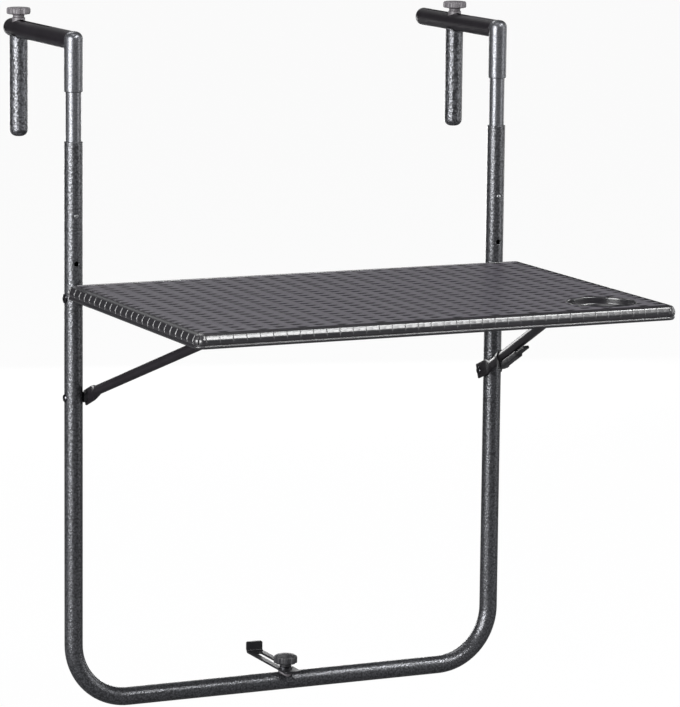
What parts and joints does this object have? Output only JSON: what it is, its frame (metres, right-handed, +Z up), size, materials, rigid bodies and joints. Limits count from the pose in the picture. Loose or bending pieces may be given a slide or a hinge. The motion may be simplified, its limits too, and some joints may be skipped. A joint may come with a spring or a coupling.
{
  "type": "balcony railing table",
  "caption": "Folding table that hangs on a balcony railing: U-shaped tube frame, height-adjustable hooks with sliding drop pins, moulded top with cup recess.",
  "frame": {"origin": "the railing's inner top edge: midway between the hooks, on the underside of the hook tubes, in the plane of the legs' back faces", "axes": "+Z up, +X to the right along the railing as seen by a person at the table, +Y over the railing, away from the table"},
  "size_m": [0.6, 0.6394, 0.8332],
  "materials": {
    "hammered_enamel": "hammer-tone enamel over steel tube, dark grey",
    "satin_enamel": "satin dark grey enamel",
    "black_enamel": "satin black enamel on steel strip",
    "moulded_top": "moulded polypropylene with a basket-weave grain, anthracite",
    "knob_plastic": "moulded nylon, dark grey",
    "cap_plastic": "moulded plastic, black",
    "pad_rubber": "soft black rubber",
    "dark_steel": "blackened steel",
    "zinc_steel": "bright zinc-plated steel",
    "spring_steel": "bare spring steel"
  },
  "bodies": {
    "frame": {"main_frame": "hammered_enamel", "hinge_bolt_left": "dark_steel", "hinge_nut_left": "zinc_steel", "bar_rivet_left": "dark_steel", "bar_spacer_left": "cap_plastic", "hinge_bolt_right": "dark_steel", "hinge_nut_right": "zinc_steel", "bar_rivet_right": "dark_steel", "bar_spacer_right": "cap_plastic", "foot_saddle": "knob_plastic", "foot_nut": "zinc_steel"},
    "hook_left": {"inner_tube_left": "hammered_enamel", "hook_tube_left": "hammered_enamel", "hook_cap_left": "cap_plastic", "hook_rivet_left": "dark_steel", "button_spring_left": "spring_steel"},
    "button_left": {"height_button_left": "zinc_steel"},
    "pin_left": {"drop_pin_left": "hammered_enamel", "pin_insert_left": "cap_plastic", "knob_washer_left": "knob_plastic"},
    "knob_left": {"clamp_knob_left": "knob_plastic", "clamp_screw_left": "zinc_steel"},
    "hook_right": {"inner_tube_right": "hammered_enamel", "hook_tube_right": "hammered_enamel", "hook_cap_right": "cap_plastic", "hook_rivet_right": "dark_steel", "button_spring_right": "spring_steel"},
    "button_right": {"height_button_right": "zinc_steel"},
    "pin_right": {"drop_pin_right": "hammered_enamel", "pin_insert_right": "cap_plastic", "knob_washer_right": "knob_plastic"},
    "knob_right": {"clamp_knob_right": "knob_plastic", "clamp_screw_right": "zinc_steel"},
    "top": {"table_top": "moulded_top", "hinge_bracket_left": "black_enamel", "bracket_screws_left": "zinc_steel", "bar_cradle_left": "moulded_top", "hinge_bracket_right": "black_enamel", "bracket_screws_right": "zinc_steel", "bar_cradle_right": "moulded_top", "cradle_screws": "zinc_steel"},
    "bar": {"support_bar": "satin_enamel", "lever_clip": "cap_plastic", "lever_pin": "zinc_steel", "lever_spring": "spring_steel"},
    "lever": {"release_lever": "cap_plastic"},
    "foot": {"foot_strip": "black_enamel", "foot_pad": "pad_rubber"},
    "foot_knob": {"foot_knob": "knob_plastic", "foot_screw": "zinc_steel", "foot_washer": "zinc_steel"}
  },
  "joints": [
    {"name": "height_left", "type": "slide", "parent": "frame", "child": "hook_left", "axis": [0, 0, 1], "range_m": [-0.057, 0], "deforming": ["height_button_left"]},
    {"name": "button_press_left", "type": "slide", "parent": "hook_left", "child": "button_left", "axis": [0, 1, 0], "range_m": [0, 0.0035], "stiffness_N_per_m": 1500, "springref_m": -0.001, "deforming": ["button_spring_left"]},
    {"name": "pin_slide_left", "type": "slide", "parent": "hook_left", "child": "pin_left", "axis": [0, 1, 0], "range_m": [-0.11, 0.005]},
    {"name": "knob_turn_left", "type": "hinge", "parent": "pin_left", "child": "knob_left", "pos_m": [-0.279, 0.1745, 0.0244], "axis": [0, 0, 1], "range_deg": [0, 720]},
    {"name": "height_right", "type": "slide", "parent": "frame", "child": "hook_right", "axis": [0, 0, 1], "range_m": [-0.057, 0], "deforming": ["height_button_right"]},
    {"name": "button_press_right", "type": "slide", "parent": "hook_right", "child": "button_right", "axis": [0, 1, 0], "range_m": [0, 0.0035], "stiffness_N_per_m": 1500, "springref_m": -0.001, "deforming": ["button_spring_right"]},
    {"name": "pin_slide_right", "type": "slide", "parent": "hook_right", "child": "pin_right", "axis": [0, 1, 0], "range_m": [-0.0445, 0.0705]},
    {"name": "knob_turn_right", "type": "hinge", "parent": "pin_right", "child": "knob_right", "pos_m": [0.279, 0.109, 0.0244], "axis": [0, 0, 1], "range_deg": [0, 720]},
    {"name": "top_fold", "type": "hinge", "parent": "frame", "child": "top", "pos_m": [0, -0.011, -0.294], "axis": [1, 0, 0], "range_deg": [0, 88]},
    {"name": "bar_swing", "type": "hinge", "parent": "frame", "child": "bar", "pos_m": [0, -0.011, -0.4135], "axis": [1, 0, 0], "range_deg": [0, 110]},
    {"name": "lever_pull", "type": "hinge", "parent": "bar", "child": "lever", "pos_m": [0.25483, -0.08758, -0.39507], "axis": [0.9836, -0.1677, 0.0663], "range_deg": [0, 20], "stiffness_Nm_per_rad": 0.3, "springref_deg": -8.59, "deforming": ["lever_spring"]},
    {"name": "foot_slide", "type": "slide", "parent": "frame", "child": "foot", "axis": [0, 1, 0], "range_m": [-0.075, 0.004]},
    {"name": "foot_knob_turn", "type": "hinge", "parent": "frame", "child": "foot_knob", "pos_m": [0, -0.011, -0.7675], "axis": [0, 0, 1], "range_deg": [0, 720]}
  ],
  "couplings": [
    {"joint": "bar_swing", "follows": "top_fold", "ratio": 1.25}
  ]
}
